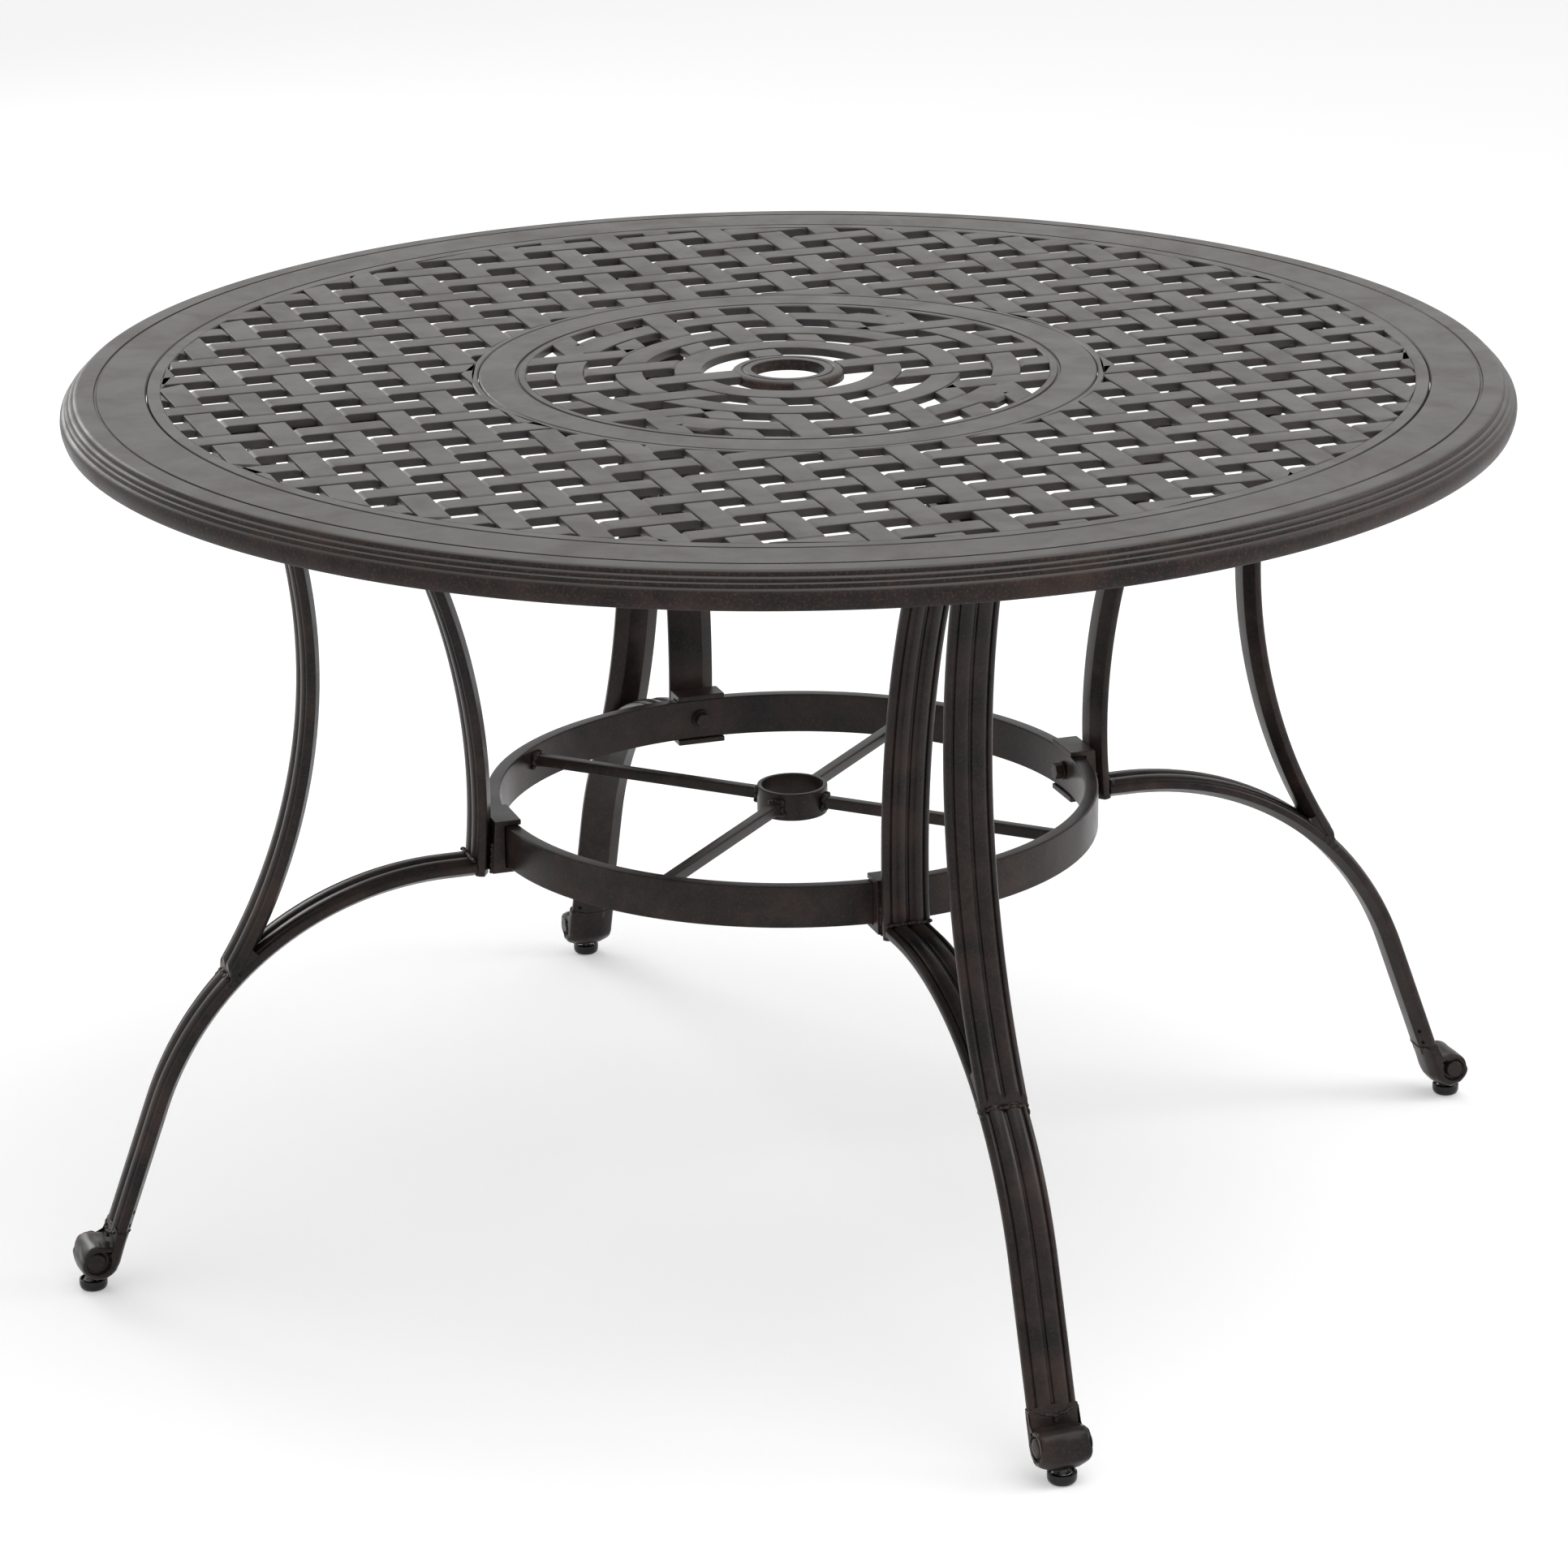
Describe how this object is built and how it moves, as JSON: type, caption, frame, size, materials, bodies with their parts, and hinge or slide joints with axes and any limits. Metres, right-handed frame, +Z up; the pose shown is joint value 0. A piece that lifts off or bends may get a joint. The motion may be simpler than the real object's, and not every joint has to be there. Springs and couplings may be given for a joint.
{
  "type": "umbrella table",
  "caption": "Round cast-metal patio table with an umbrella hole, woven lattice top, moulded rim, double-bar legs on scroll feet and a pole-steadying hoop.",
  "frame": {"origin": "on the floor, under the middle of the umbrella hole", "axes": "+Z up through the umbrella hole; the four legs lie along +X, +Y, -X and -Y"},
  "size_m": [1.287, 1.287, 0.745],
  "materials": {
    "bronze": "cast aluminium under a satin antique-bronze powder coat, mottled near-black brown and copper",
    "bolt_bronze": "satin bronze paint",
    "black_plastic": "glossy black nylon",
    "steel": "zinc-plated steel"
  },
  "bodies": {
    "table": {"top_rim": "bronze", "woven_panel": "bronze", "center_medallion": "bronze", "umbrella_collar": "bronze", "hoop_ring": "bronze", "hub_ring": "bronze", "spoke_1": "bronze", "spoke_2": "bronze", "spoke_3": "bronze", "spoke_4": "bronze", "outer_upright_1": "bronze", "inner_upright_1": "bronze", "arch_rail_1": "bronze", "scroll_foot_1": "bronze", "hoop_bracket_1": "bronze", "bracket_bolt_1": "bolt_bronze", "top_plate_1": "bronze", "inner_plate_screw_1": "steel", "outer_plate_screw_1": "steel", "outer_upright_2": "bronze", "inner_upright_2": "bronze", "arch_rail_2": "bronze", "scroll_foot_2": "bronze", "hoop_bracket_2": "bronze", "bracket_bolt_2": "bolt_bronze", "top_plate_2": "bronze", "inner_plate_screw_2": "steel", "outer_plate_screw_2": "steel", "outer_upright_3": "bronze", "inner_upright_3": "bronze", "arch_rail_3": "bronze", "scroll_foot_3": "bronze", "hoop_bracket_3": "bronze", "bracket_bolt_3": "bolt_bronze", "top_plate_3": "bronze", "inner_plate_screw_3": "steel", "outer_plate_screw_3": "steel", "outer_upright_4": "bronze", "inner_upright_4": "bronze", "arch_rail_4": "bronze", "scroll_foot_4": "bronze", "hoop_bracket_4": "bronze", "bracket_bolt_4": "bolt_bronze", "top_plate_4": "bronze", "inner_plate_screw_4": "steel", "outer_plate_screw_4": "steel"},
    "glide_1": {"glide_cup_1": "black_plastic", "glide_stud_1": "steel"},
    "glide_2": {"glide_cup_2": "black_plastic", "glide_stud_2": "steel"},
    "glide_3": {"glide_cup_3": "black_plastic", "glide_stud_3": "steel"},
    "glide_4": {"glide_cup_4": "black_plastic", "glide_stud_4": "steel"}
  },
  "joints": [
    {"name": "glide_1_screw", "type": "slide", "parent": "table", "child": "glide_1", "axis": [0, 0, -1], "range_m": [-0.0012, 0.008]},
    {"name": "glide_2_screw", "type": "slide", "parent": "table", "child": "glide_2", "axis": [0, 0, -1], "range_m": [-0.0012, 0.008]},
    {"name": "glide_3_screw", "type": "slide", "parent": "table", "child": "glide_3", "axis": [0, 0, -1], "range_m": [-0.0012, 0.008]},
    {"name": "glide_4_screw", "type": "slide", "parent": "table", "child": "glide_4", "axis": [0, 0, -1], "range_m": [-0.0012, 0.008]}
  ]
}
